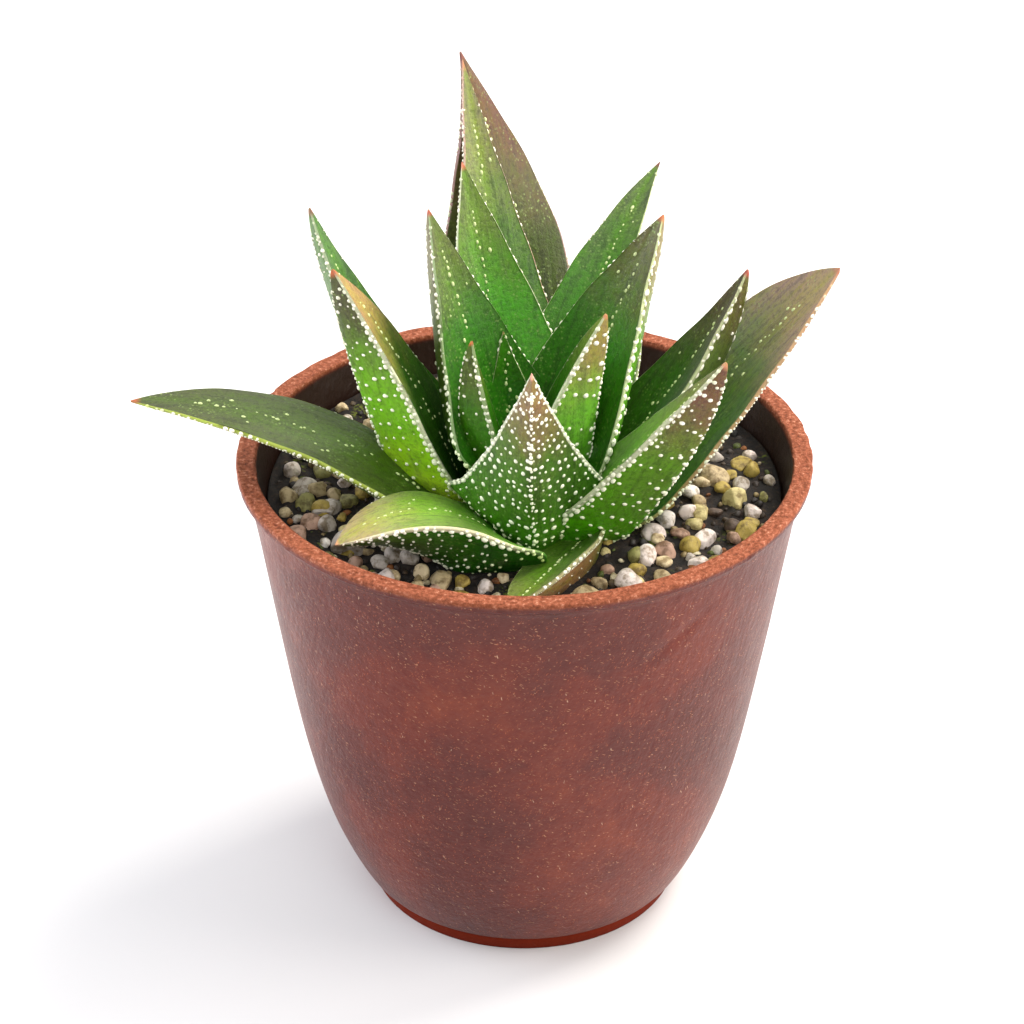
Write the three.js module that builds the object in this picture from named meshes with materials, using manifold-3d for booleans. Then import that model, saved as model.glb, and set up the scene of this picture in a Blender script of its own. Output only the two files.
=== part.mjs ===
// A haworthia in its pot: a rosette of keeled, warty leaves on a short stem,
// planted in gritty soil in a moulded brick-red clay pot.
// Millimetres, +Z up. The origin is the middle of the pot's base, and -Y is the front.
// Angles are in degrees: a heading of 0 is +X, 90 is the back, 180 is -X and 270 is the front.
import * as THREE from 'three';
import { mergeVertices } from 'three/addons/utils/BufferGeometryUtils.js';
import Module from 'manifold-3d';

const wasm = await Module();
wasm.setup();

// Driving dimensions of the pot
const POT_HEIGHT = 78;
const RIM_RADIUS = 45;
const RIM_WIDTH = 3;
const RIM_BAND = 1.4;
const LIP_HEIGHT = 2.4;
const WALL = 2.3;
const FLOOR = 3.5;
const WALL_RADIUS = 32.3;
const WALL_TAPER = 0.144;
const WALL_FLARE = 0.6;
const FLARE_HEIGHT = 8;
const FOOT_TUCK = 8;
const FOOT_HEIGHT = 12.4;
const FOOT_RING = 25.1;
const FOOT_BAND = 2.8;
const POT_SIDES = 40;
const DRAIN_RADIUS = 3.5;
const DRAIN_CIRCLE = 14;
const DRAIN_COUNT = 4;

// Driving dimensions of the soil and its grit
const SOIL_LEVEL = 71.5;
const SOIL_WAVE = 0.5;
const SOIL_SIDES = 30;
const STONE_COUNT = 84;
const STONE_RADIUS = 1.9;
const STONE_SPREAD = 0.9;
const STONE_FIELD = 36.4;
const STONE_CLEAR = 1.6;
const STONE_FACETS = 5;

// Driving dimensions of the plant
const PLANT = new THREE.Vector2(0.5, -7);
const STEM_RADIUS = 3;
const STEM_TOP = 76;
const ROOT_BOTTOM = 56;
const MARGIN_THICKNESS = 0.7;
const KEEL_SHARPNESS = 0.6;
const CLASP = 0.45;
const CLASP_REACH = 0.16;
const FOOT_SHARE = 0.6;
const TOOTHED_FROM = 0.15;
const WIDEST_AT = 0.2;
const WART_PITCH = 5.4;
const WART_RISE = 0.55;
const WART_ROOT = 0.5;
const WART_RADIUS = 0.7;
const GAP = 0.35;
const CUT_TOLERANCE = 0.03;

// The leaves, from the youngest in the heart to the oldest on the soil. foot is the heading and
// the distance from the plant's axis where the leaf starts, and its height. heading and climb
// run from the foot to the tip. half is the half width, deep the depth from face to keel, roll
// the turn about the leaf's own length, cup the rise of the margins, and taper how late it narrows.
const LEAVES = [
  {
    length: 23.5, half: 5, deep: 3, foot: [125, 1.5, 77],
    heading: [122, 120], climb: [65, 88], roll: 8, cup: 0.22, taper: 1.3,
  },
  {
    length: 35, half: 9, deep: 5, foot: [324, 4, 75.5],
    heading: [336, 335], climb: [86, 64], roll: -16, cup: 0.42, taper: 1.4,
  },
  {
    length: 29.5, half: 6, deep: 4.5, foot: [213, 3.5, 75],
    heading: [209, 209], climb: [74, 82], roll: 25, cup: 0.26, taper: 1.3,
  },
  {
    length: 38, half: 13.3, deep: 6, foot: [276, 8.2, 70.6],
    heading: [267, 269], climb: [71, 72.5], roll: 0, cup: 0.37, taper: 0.75,
  },
  {
    length: 44, half: 11, deep: 9, foot: [158, 4, 78],
    heading: [165, 151], climb: [78, 70], roll: 23, cup: 0.22, taper: 0.9,
  },
  {
    length: 48, half: 11, deep: 8.5, foot: [16, 4.5, 74],
    heading: [24, 20], climb: [76, 62], roll: -17, cup: 0.29, taper: 1.5,
  },
  {
    length: 50, half: 11, deep: 5, foot: [107, 3, 75.5],
    heading: [116, 121], climb: [67, 68], roll: 1, cup: 0.3, taper: 1.2,
  },
  {
    length: 67, half: 10, deep: 5, foot: [96, 6.5, 72],
    heading: [102, 120], climb: [62, 71], roll: -4, cup: 0.26, taper: 1,
  },
  {
    length: 50, half: 7.5, deep: 9.4, foot: [155, 10, 70],
    heading: [197.5, 203], climb: [73.5, 56], roll: 22, cup: 0.06, taper: 2.2,
  },
  {
    length: 48.5, half: 6.5, deep: 8.5, foot: [298, 6.5, 71],
    heading: [328, 329], climb: [51, 53], roll: -15, cup: 0.27, taper: 1.6,
  },
  {
    length: 56, half: 8, deep: 5, foot: [66, 7, 71.5],
    heading: [63, 53], climb: [74, 31], roll: -8, cup: 0.26, taper: 1.5,
  },
  {
    length: 48.5, half: 9.5, deep: 7, foot: [9, 6, 70.5],
    heading: [11, 12], climb: [47, 63], roll: 0, cup: 0.26, taper: 1.4,
  },
  {
    length: 54, half: 7, deep: 5, foot: [137, 10.5, 70],
    heading: [161, 171.5], climb: [51, 70.5], roll: 9.5, cup: 0.21, taper: 1.46,
  },
  {
    length: 67, half: 11, deep: 5, foot: [108, 19.5, 69.5],
    heading: [39, 157], climb: [77, 66], roll: -3, cup: -0.31, taper: 2.24,
  },
  {
    length: 57.5, half: 11.4, deep: 5, foot: [1, 10.4, 67.7],
    heading: [21, -9], climb: [50.5, 49], roll: -12, cup: 0.17, taper: 4.1,
  },
  {
    length: 33, half: 10.5, deep: 8.2, foot: [262, 13.4, 70.9],
    heading: [188, 199], climb: [65, -39], roll: -15, cup: 0.01, taper: 4.1,
  },
  {
    length: 62, half: 8, deep: 5, foot: [202, 7, 66],
    heading: [172, 175], climb: [51, -5.5], roll: 0, cup: 0, taper: 3.5,
  },
  {
    length: 28, half: 5.2, deep: 5.3, foot: [318, 12.2, 72],
    heading: [250, 238], climb: [12, -3], roll: -22, cup: 0.24, taper: 3.2,
  },
  {
    length: 27, half: 7, deep: 5, foot: [105, 26, 67],
    heading: [90, 90], climb: [50, 35], roll: 0, cup: 0.2, taper: 1.6,
  },
  {
    length: 38, half: 7, deep: 5, foot: [60, 12, 67],
    heading: [66, 62], climb: [40, 40], roll: 0, cup: 0.2, taper: 1.6,
  },
];

// Colours
const CLAY = new THREE.MeshStandardMaterial({ color: 0x8a4a3a, roughness: 0.55, metalness: 0 });
const EARTH = new THREE.MeshStandardMaterial({ color: 0x3b2a20, roughness: 0.95, metalness: 0 });
const LEAF = new THREE.MeshStandardMaterial({ color: 0x4f7a2c, roughness: 0.5, metalness: 0 });
const PITH = new THREE.MeshStandardMaterial({ color: 0x9aa36a, roughness: 0.7, metalness: 0 });

const radians = THREE.MathUtils.degToRad;
const blend = THREE.MathUtils.lerp;

// A closed geometry as a solid that can be cut and joined
function solidOf(geometry) {
  const bare = geometry.clone();
  bare.deleteAttribute('normal');
  bare.deleteAttribute('uv');
  const merged = mergeVertices(bare, 1e-5);
  return new wasm.Manifold(new wasm.Mesh({
    numProp: 3,
    vertProperties: new Float32Array(merged.attributes.position.array),
    triVerts: new Uint32Array(merged.index.array),
  }));
}

// The largest connected body of a solid, without the scraps that a cut leaves
function mainBody(solid) {
  const bodies = solid.decompose();
  return bodies.reduce((best, body) => (body.volume() > best.volume() ? body : best));
}

function meshOf(name, solid, material) {
  const { vertProperties, triVerts } = solid.getMesh();
  const geometry = new THREE.BufferGeometry();
  geometry.setAttribute('position', new THREE.BufferAttribute(new Float32Array(vertProperties), 3));
  geometry.setIndex(new THREE.BufferAttribute(new Uint32Array(triVerts), 1));
  const mesh = new THREE.Mesh(geometry, material);
  mesh.name = name;
  return mesh;
}

// A LatheGeometry turned from its own Y axis to +Z
function latheOf(profile, sides) {
  const points = profile.map(([radius, height]) => new THREE.Vector2(radius, height));
  return solidOf(new THREE.LatheGeometry(points, sides).rotateX(Math.PI / 2));
}

// The pot's outside: a straight taper whose foot tucks in and whose top flares, each along a curve
function potRadius(z) {
  const tuck = FOOT_TUCK * Math.exp(-z / FOOT_HEIGHT);
  const flare = WALL_FLARE * Math.exp((z - POT_HEIGHT) / FLARE_HEIGHT);
  return WALL_RADIUS + WALL_TAPER * z - tuck + flare;
}

function potSolid() {
  const outside = [3.1, 8, 15, 25, 40, 66, POT_HEIGHT - LIP_HEIGHT].map((z) => [potRadius(z), z]);
  const inside = [SOIL_LEVEL, 26, 12, FLOOR].map((z) => [potRadius(z) - WALL, z]);
  const pot = latheOf([
    [0, 0],
    [FOOT_RING, 0],
    [FOOT_RING + 0.8, FOOT_BAND],
    ...outside,
    [RIM_RADIUS, POT_HEIGHT - RIM_BAND],
    [RIM_RADIUS, POT_HEIGHT],
    [RIM_RADIUS - RIM_WIDTH, POT_HEIGHT],
    ...inside,
    [0, FLOOR],
  ], POT_SIDES);
  const drains = [];
  for (let i = 0; i < DRAIN_COUNT; i += 1) {
    const turn = (2 * Math.PI * (i + 0.5)) / DRAIN_COUNT;
    const drain = new THREE.CylinderGeometry(DRAIN_RADIUS, DRAIN_RADIUS, 3 * FLOOR, 10).rotateX(Math.PI / 2);
    drain.translate(DRAIN_CIRCLE * Math.cos(turn), DRAIN_CIRCLE * Math.sin(turn), 0);
    drains.push(solidOf(drain));
  }
  return pot.subtract(wasm.Manifold.union(drains));
}

// The stem with its root crown, a plain plug that the leaves stand round
function stemSolid(grow) {
  return latheOf([
    [0, ROOT_BOTTOM - grow],
    [STEM_RADIUS / 2 + grow, ROOT_BOTTOM - grow],
    [STEM_RADIUS + grow, SOIL_LEVEL - 4],
    [STEM_RADIUS + grow, STEM_TOP - 1.5],
    [STEM_RADIUS / 2 + grow, STEM_TOP + grow],
    [0, STEM_TOP + grow],
  ], 12).translate([PLANT.x, PLANT.y, 0]);
}

// The frames along a leaf: place, tangent, sideways and outwards from the upper face
function leafFrames(leaf, steps) {
  const [footHeading, footOut, footUp] = leaf.foot;
  const place = new THREE.Vector3(
    PLANT.x + footOut * Math.cos(radians(footHeading)),
    PLANT.y + footOut * Math.sin(radians(footHeading)),
    footUp,
  );
  const tangentAt = (share) => {
    const heading = radians(blend(...leaf.heading, share));
    const climb = radians(blend(...leaf.climb, share));
    const flat = Math.cos(climb);
    return new THREE.Vector3(flat * Math.cos(heading), flat * Math.sin(heading), Math.sin(climb));
  };
  const frames = [];
  for (let i = 0; i <= steps; i += 1) {
    const share = i / steps;
    if (i > 0) {
      place.addScaledVector(tangentAt(share - 0.5 / steps), leaf.length / steps);
    }
    const heading = radians(blend(...leaf.heading, share));
    const tangent = tangentAt(share);
    const level = new THREE.Vector3(-Math.sin(heading), Math.cos(heading), 0);
    const side = level.clone().applyAxisAngle(tangent, radians(-leaf.roll));
    const face = new THREE.Vector3().crossVectors(tangent, side);
    frames.push({ number: i, share, place: place.clone(), tangent, side, face });
  }
  return frames;
}

function halfWidth(leaf, share) {
  if (share < WIDEST_AT) {
    return leaf.half * blend(FOOT_SHARE, 1, Math.sin((Math.PI / 2) * (share / WIDEST_AT)));
  }
  return leaf.half * (1 - ((share - WIDEST_AT) / (1 - WIDEST_AT)) ** leaf.taper);
}

// A point of a leaf's skin. across runs from -1 to 1 between the margins. The upper face is
// cupped, the lower one falls to the keel, and both are moved out by grow. The margins and the
// keel rise in turn to a tooth at every second frame.
function skinPoint(leaf, frame, across, below, grow) {
  const width = halfWidth(leaf, frame.share);
  const toothed = frame.share > TOOTHED_FROM;
  const marginTooth = toothed && frame.number % 2 === 0 ? WART_RISE : 0;
  const keelTooth = toothed && frame.number % 2 === 1 && below && across === 0 ? WART_RISE : 0;
  const cup = leaf.cup * (1 - 0.35 * frame.share) + CLASP * Math.exp(-((frame.share / CLASP_REACH) ** 2));
  const filled = Math.min(1, FOOT_SHARE + 2 * frame.share);
  const depth = leaf.deep * filled * (1 - frame.share ** 2.2) ** 0.8;
  const keel = KEEL_SHARPNESS * (1 - Math.abs(across)) + (1 - KEEL_SHARPNESS) * (1 - across ** 2);
  const top = cup * width * across ** 2;
  const margin = MARGIN_THICKNESS * (1 - 0.6 * frame.share ** 6);
  const height = below ? top - margin - depth * keel - grow - keelTooth : top + grow;
  const reach = Math.abs(across) === 1 ? grow + marginTooth : grow;
  return frame.place.clone()
    .addScaledVector(frame.side, across * (width + reach))
    .addScaledVector(frame.face, height);
}

// The flat end of a leaf's foot, by the numbers of the points round its section: 0 to 2 are the
// upper face and 3 to 7 the lower one, both from margin to margin
const FOOT_CAP = [[0, 6, 7], [0, 1, 6], [1, 5, 6], [1, 4, 5], [1, 2, 4], [2, 3, 4]];

// One leaf as a closed loft of eight-point sections from its foot to its tip
function leafSolid(leaf, grow) {
  const upper = [-1, 0, 1];
  const lower = [1, 0.5, 0, -0.5, -1];
  const ring = upper.length + lower.length;
  const frames = leafFrames(leaf, 2 * Math.round(leaf.length / WART_PITCH));
  const tipFrame = frames.pop();
  const sections = frames.map((frame) => [
    ...upper.map((across) => skinPoint(leaf, frame, across, false, grow)),
    ...lower.map((across) => skinPoint(leaf, frame, across, true, grow)),
  ]);
  if (grow > 0) {
    sections.unshift(sections[0].map((point) => point.clone().addScaledVector(frames[0].tangent, -grow)));
  }
  const points = sections.flat();
  const last = points.length - ring;
  const index = [];
  for (let start = 0; start < last; start += ring) {
    for (let i = 0; i < ring; i += 1) {
      const next = (i + 1) % ring;
      index.push(start + i, start + ring + next, start + next);
      index.push(start + i, start + ring + i, start + ring + next);
    }
  }
  const tip = points.length;
  points.push(tipFrame.place.clone().addScaledVector(tipFrame.tangent, grow));
  for (let i = 0; i < ring; i += 1) {
    index.push(last + i, tip, last + ((i + 1) % ring));
  }
  for (const [a, b, c] of FOOT_CAP) {
    index.push(a, b, c);
  }
  const geometry = new THREE.BufferGeometry().setFromPoints(points);
  geometry.setIndex(index);
  return solidOf(geometry);
}

// Where warts stand on the two flanks of a leaf's lower face, in a staggered row on each
function wartSpots(leaf) {
  const frames = leafFrames(leaf, 2 * Math.round(leaf.length / WART_PITCH));
  const spots = [];
  frames.forEach((frame, i) => {
    if (i % 4 !== 1 || frame.share < TOOTHED_FROM || frame.share > 0.85) {
      return;
    }
    const out = Math.floor(i / 4) % 2 === 0 ? 0.25 : 0.72;
    for (const flank of [-1, 1]) {
      const across = flank * out;
      const at = skinPoint(leaf, frame, across, true, 0).addScaledVector(frame.tangent, WART_PITCH / 4);
      const normal = frame.side.clone().multiplyScalar(0.7 * flank).sub(frame.face).normalize();
      spots.push({ at, normal, along: frame.tangent });
    }
  });
  return spots;
}

// A wart: a three-sided cone with a sunk root, moved out by grow
function wartSolid({ at, normal, along }, grow) {
  const cone = new THREE.ConeGeometry(WART_RADIUS + grow, WART_RISE + WART_ROOT + grow, 3);
  cone.translate(0, (WART_RISE - WART_ROOT + grow) / 2, 0);
  const turned = new THREE.Matrix4().makeBasis(
    new THREE.Vector3().crossVectors(normal, along).normalize(),
    normal,
    new THREE.Vector3().crossVectors(new THREE.Vector3().crossVectors(normal, along), normal).normalize(),
  );
  return solidOf(cone.applyMatrix4(turned).translate(at.x, at.y, at.z));
}

// The same share of a whole turn or size for the same two whole numbers
function scatter(count, salt) {
  const value = Math.sin(count * 12.9898 + salt * 78.233) * 43758.5453;
  return value - Math.floor(value);
}

function soilHeight(x, y) {
  return SOIL_LEVEL + SOIL_WAVE * Math.sin(0.23 * x + 1) * Math.cos(0.19 * y);
}

// The bed of soil: it fills the pot to its level and has a gently uneven top
function bedSolid() {
  const inner = (z) => potRadius(z) - WALL - GAP;
  const rings = [12, 24, 34, inner(SOIL_LEVEL)];
  const walls = [26, 12, FLOOR + GAP];
  const points = [new THREE.Vector3(0, 0, soilHeight(0, 0))];
  const addRing = (radius, heightAt) => {
    for (let i = 0; i < SOIL_SIDES; i += 1) {
      const turn = (2 * Math.PI * i) / SOIL_SIDES;
      const x = radius * Math.cos(turn);
      const y = radius * Math.sin(turn);
      points.push(new THREE.Vector3(x, y, heightAt(x, y)));
    }
  };
  rings.forEach((radius) => addRing(radius, soilHeight));
  walls.forEach((z) => addRing(inner(z), () => z));
  points.push(new THREE.Vector3(0, 0, FLOOR + GAP));
  const index = [];
  const count = rings.length + walls.length;
  for (let i = 0; i < SOIL_SIDES; i += 1) {
    const next = (i + 1) % SOIL_SIDES;
    index.push(0, 1 + i, 1 + next);
    for (let ring = 0; ring < count - 1; ring += 1) {
      const from = 1 + ring * SOIL_SIDES;
      const to = from + SOIL_SIDES;
      index.push(from + i, to + i, to + next);
      index.push(from + i, to + next, from + next);
    }
    const foot = 1 + (count - 1) * SOIL_SIDES;
    index.push(foot + i, points.length - 1, foot + next);
  }
  const geometry = new THREE.BufferGeometry().setFromPoints(points);
  geometry.setIndex(index);
  return solidOf(geometry);
}

// Stones on a sunflower spiral with a seeded jitter, left out where a leaf is too close
function stoneSolids(leafPoints) {
  const stones = [];
  for (let i = 0; i < STONE_COUNT; i += 1) {
    const radius = STONE_RADIUS + STONE_SPREAD * scatter(i, 1);
    const out = STONE_FIELD * Math.sqrt((i + 0.5) / STONE_COUNT) + 2 * (scatter(i, 2) - 0.5);
    const turn = i * Math.PI * (3 - Math.sqrt(5)) + 0.5 * (scatter(i, 3) - 0.5) * (STONE_RADIUS / out);
    const x = out * Math.cos(turn);
    const y = out * Math.sin(turn);
    const centre = new THREE.Vector3(x, y, soilHeight(x, y) + 0.15 * radius);
    const clear = radius + STONE_CLEAR;
    if (leafPoints.some((point) => point.distanceTo(centre) < clear)) {
      continue;
    }
    const stone = new THREE.CylinderGeometry(0.6 * radius, radius, 1.5 * radius, STONE_FACETS);
    stone.rotateX(Math.PI / 2);
    stone.scale(1, 0.75 + 0.25 * scatter(i, 4), 0.8 + 0.25 * scatter(i, 5));
    stone.rotateX(0.5 * (scatter(i, 6) - 0.5)).rotateZ(2 * Math.PI * scatter(i, 7));
    stones.push(solidOf(stone.translate(centre.x, centre.y, centre.z)));
  }
  return stones;
}

// Points all over the leaves, to keep stones clear of them
function leafSkin() {
  const points = [];
  for (const leaf of LEAVES) {
    for (const frame of leafFrames(leaf, 30)) {
      for (let across = -1; across <= 1; across += 0.25) {
        points.push(skinPoint(leaf, frame, across, false, 0), skinPoint(leaf, frame, across, true, 0));
      }
    }
  }
  return points;
}

const pot = potSolid();
const stem = stemSolid(0);
const grownStem = stemSolid(GAP);
const grownLeaves = LEAVES.map((leaf) => leafSolid(leaf, GAP));
const planted = wasm.Manifold.union([grownStem, ...grownLeaves]);
const bed = wasm.Manifold.union([bedSolid(), ...stoneSolids(leafSkin())]);
const soil = mainBody(bed.subtract(planted).simplify(CUT_TOLERANCE));

// Each leaf gives way to the stem and to the younger leaves inside it
let inside = grownStem;
const trimmed = LEAVES.map((leaf, i) => {
  const solid = mainBody(leafSolid(leaf, 0).subtract(inside).simplify(CUT_TOLERANCE));
  inside = inside.add(grownLeaves[i]);
  return solid;
});

// Warts stand only where they clear the neighbours and the warts that are already there
const leaves = [...trimmed];
leaves.forEach((leaf, i) => {
  const around = wasm.Manifold.union([...leaves.filter((other) => other !== leaf), stem, soil]);
  const warts = wartSpots(LEAVES[i])
    .filter((spot) => wartSolid(spot, GAP).intersect(around).isEmpty())
    .map((spot) => wartSolid(spot, 0));
  leaves[i] = mainBody(wasm.Manifold.union([leaf, ...warts]).simplify(CUT_TOLERANCE));
});

const plant = new THREE.Group();
plant.add(meshOf('stem', stem, PITH));
leaves.forEach((leaf, i) => {
  plant.add(meshOf(`leaf_${String(i + 1).padStart(2, '0')}`, leaf, LEAF));
});

const haworthia = new THREE.Group();
haworthia.add(meshOf('pot', pot, CLAY), meshOf('soil', soil, EARTH), plant);

export default haworthia;
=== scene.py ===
import math

import bpy
import numpy as np
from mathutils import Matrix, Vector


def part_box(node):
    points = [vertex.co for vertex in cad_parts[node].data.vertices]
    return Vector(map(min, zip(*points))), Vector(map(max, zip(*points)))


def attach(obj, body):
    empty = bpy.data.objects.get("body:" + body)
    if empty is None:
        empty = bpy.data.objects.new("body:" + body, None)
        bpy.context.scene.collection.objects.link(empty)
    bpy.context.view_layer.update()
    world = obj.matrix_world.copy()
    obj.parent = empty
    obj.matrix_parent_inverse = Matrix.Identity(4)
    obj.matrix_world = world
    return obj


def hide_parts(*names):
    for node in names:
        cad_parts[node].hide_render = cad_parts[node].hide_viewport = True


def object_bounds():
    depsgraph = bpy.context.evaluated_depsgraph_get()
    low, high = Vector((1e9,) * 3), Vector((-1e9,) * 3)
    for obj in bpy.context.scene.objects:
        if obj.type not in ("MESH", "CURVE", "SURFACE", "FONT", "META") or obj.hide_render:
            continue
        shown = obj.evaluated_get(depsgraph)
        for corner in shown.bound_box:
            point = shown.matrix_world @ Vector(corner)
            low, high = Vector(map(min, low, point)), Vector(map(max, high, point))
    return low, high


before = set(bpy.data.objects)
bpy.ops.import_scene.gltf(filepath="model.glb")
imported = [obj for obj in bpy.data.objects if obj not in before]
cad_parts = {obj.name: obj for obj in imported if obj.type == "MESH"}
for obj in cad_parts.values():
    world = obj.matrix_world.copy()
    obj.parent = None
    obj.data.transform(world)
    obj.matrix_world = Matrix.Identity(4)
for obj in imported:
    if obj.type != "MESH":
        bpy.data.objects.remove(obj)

# A haworthia in its pot: a rosette of keeled leaves with white warts, planted in gritty soil
# in a moulded red-brown clay pot. Shapes are worked out in millimetres and placed in metres.
# Angles are in degrees: a heading of 0 is +X, 90 is the back, 180 is -X and 270 is the front.
MM = 0.001
CAD_BOX = [list(map(float, corner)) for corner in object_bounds()]
BOX_MARGIN = 0.01
BOX_LOW = np.array(CAD_BOX[0]) / MM + BOX_MARGIN
BOX_HIGH = np.array(CAD_BOX[1]) / MM - BOX_MARGIN
POT_BOX = np.array([list(corner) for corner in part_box("pot")]) / MM

# The pot
POT_HEIGHT = POT_BOX[1][2]
RIM_RADIUS = POT_BOX[1][0]
RIM_WIDTH = 3.0
RIM_BAND = 1.4
LIP_HEIGHT = 2.4
WALL = 2.3
FLOOR = 3.5
WALL_RADIUS = 32.3
WALL_TAPER = 0.144
WALL_FLARE = 0.6
FLARE_HEIGHT = 8.0
FOOT_TUCK = 8.0
FOOT_HEIGHT = 12.4
FOOT_RING = 25.1
FOOT_BAND = 2.8
POT_SIDES = 320
ARRIS = 0.4
CREASE_TURN = math.radians(303)
CREASE_HEIGHT = 66.0
CREASE_DEPTH = 0.35
DRAIN_RADIUS = 3.5
DRAIN_CIRCLE = 14.0
DRAIN_COUNT = 4
DRAIN_SIDES = 32
CUT_PAST = 2.0

# The soil, its stones and its finer grit
SOIL_LEVEL = 71.5
SOIL_WAVE = 0.5
SOIL_SIDES = 200
SOIL_RINGS = 90
STONE_COUNT = 84
STONE_RADIUS = 1.9
STONE_SPREAD = 0.9
STONE_FIELD = 36.4
STONE_CLEAR = 0.3
STONE_PLANES = 8
ARRIS_POWER = 22.0
PEBBLE_COUNT = 300
PEBBLE_RADIUS = 0.95
PEBBLE_SPREAD = 1.0
PEBBLE_CLEAR = 0.1
CRUMB_COUNT = 900
CRUMB_RADIUS = 0.35
CRUMB_SPREAD = 0.6
CRUMB_CLEAR = 0.05
LOOSE_FIELD = 39.0
GAP = 0.35

# The camera: its focal length on a sensor 36 mm wide, its place in metres and its tilt up from
# straight down
LENS = 126.56
CAMERA_PLACE = (-0.00193, -0.4866, 0.3574)
CAMERA_TILT = math.radians(59.17)

# The plant
PLANT = np.array([0.5, -7.0])
MARGIN_THICKNESS = 0.7
KEEL_SHARPNESS = 0.6
CLASP = 0.45
CLASP_REACH = 0.16
FOOT_SHARE = 0.6
WIDEST_AT = 0.2
STATION = 0.55
UPPER_POINTS = 17
LOWER_POINTS = 27
TOOTH_PITCH = 1.4
MEDIAN_PITCH = 1.1
DOME_SIDES = 7
DOME_RINGS = ((1.15, -0.5), (0.95, 0.25), (0.6, 0.62))
DOME_TOP = 0.75
WART_SEED = 100
MEDIAN_SEED = 300
TOOTH_SEED = 500
# how far the pattern on a lower face lies from the upper one's, and each leaf's from the last
FACE_SHIFT = 60.0
LEAF_SHIFT = 7.3


def leaf(length, half, deep, foot, heading, climb, roll, cup, taper):
    """One row of the table of leaves, in the order that it is written in."""
    return dict(length=length, half=half, deep=deep, foot=foot, heading=heading, climb=climb,
                roll=roll, cup=cup, taper=taper)


# The leaves, from the youngest in the heart to the oldest on the soil: length, half width, depth,
# foot (heading and distance from the plant's axis, height), heading and climb from foot to tip,
# roll about its own length, cup of the upper face and how late it narrows
LEAVES = [
    leaf(23.5, 5, 3, (125, 1.5, 77), (122, 120), (65, 88), 8, 0.22, 1.3),
    leaf(35, 9, 5, (324, 4, 75.5), (336, 335), (86, 64), -16, 0.42, 1.4),
    leaf(29.5, 6, 4.5, (213, 3.5, 75), (209, 209), (74, 82), 25, 0.26, 1.3),
    leaf(38, 13.3, 6, (276, 8.2, 70.6), (267, 269), (71, 72.5), 0, 0.37, 0.75),
    leaf(44, 11, 9, (158, 4, 78), (165, 151), (78, 70), 23, 0.22, 0.9),
    leaf(48, 11, 8.5, (16, 4.5, 74), (24, 20), (76, 62), -17, 0.29, 1.5),
    leaf(50, 11, 5, (107, 3, 75.5), (116, 121), (67, 68), 1, 0.3, 1.2),
    leaf(67, 10, 5, (96, 6.5, 72), (102, 120), (62, 71), -4, 0.26, 1),
    leaf(50, 7.5, 9.4, (155, 10, 70), (197.5, 203), (73.5, 56), 22, 0.06, 2.2),
    leaf(48.5, 6.5, 8.5, (298, 6.5, 71), (328, 329), (51, 53), -15, 0.27, 1.6),
    leaf(56, 8, 5, (66, 7, 71.5), (63, 53), (74, 31), -8, 0.26, 1.5),
    leaf(48.5, 9.5, 7, (9, 6, 70.5), (11, 12), (47, 63), 0, 0.26, 1.4),
    leaf(54, 7, 5, (137, 10.5, 70), (161, 171.5), (51, 70.5), 9.5, 0.21, 1.46),
    leaf(67, 11, 5, (108, 19.5, 69.5), (39, 157), (77, 66), -3, -0.31, 2.24),
    leaf(57.5, 11.4, 5, (1, 10.4, 67.7), (21, -9), (50.5, 49), -12, 0.17, 4.1),
    leaf(33, 10.5, 8.2, (262, 13.4, 70.9), (188, 199), (65, -39), -15, 0.01, 4.1),
    leaf(62, 8, 5, (202, 7, 66), (172, 175), (51, -5.5), 0, 0, 3.5),
    leaf(28, 5.2, 5.3, (318, 12.2, 72), (250, 238), (12, -3), -22, 0.24, 3.2),
    leaf(27, 7, 5, (105, 26, 67), (90, 90), (50, 35), 0, 0.2, 1.6),
    leaf(38, 7, 5, (60, 12, 67), (66, 62), (40, 40), 0, 0.2, 1.6),
]


def look(upper, lower, edge, spine, bands=2.9, dots=5, dot=0.36, line=0.46, dash=1.3, stray=0.15):
    """How one leaf looks: three colours from foot to tip on each face, the margin and the spine.
    bands is the pitch of its cross rows of warts in millimetres, dots how many a row has on each
    flank, dot their radius, line the radius of those along the margins and the keel, dash how
    long these are drawn out and stray how far the others lie off their row."""
    return dict(upper=upper, lower=lower, edge=edge, spine=spine, bands=bands, dots=dots, dot=dot,
                line=line, dash=dash, stray=stray)


# the guessed leaves at the back
BACK_LOOK = look(("3C6414", "5C7C34", "747448"), ("3E6418", "54702C", "6A663A"), "B4C090", "A0604A",
                 dots=3, dot=0.24, line=0.26)
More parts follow.
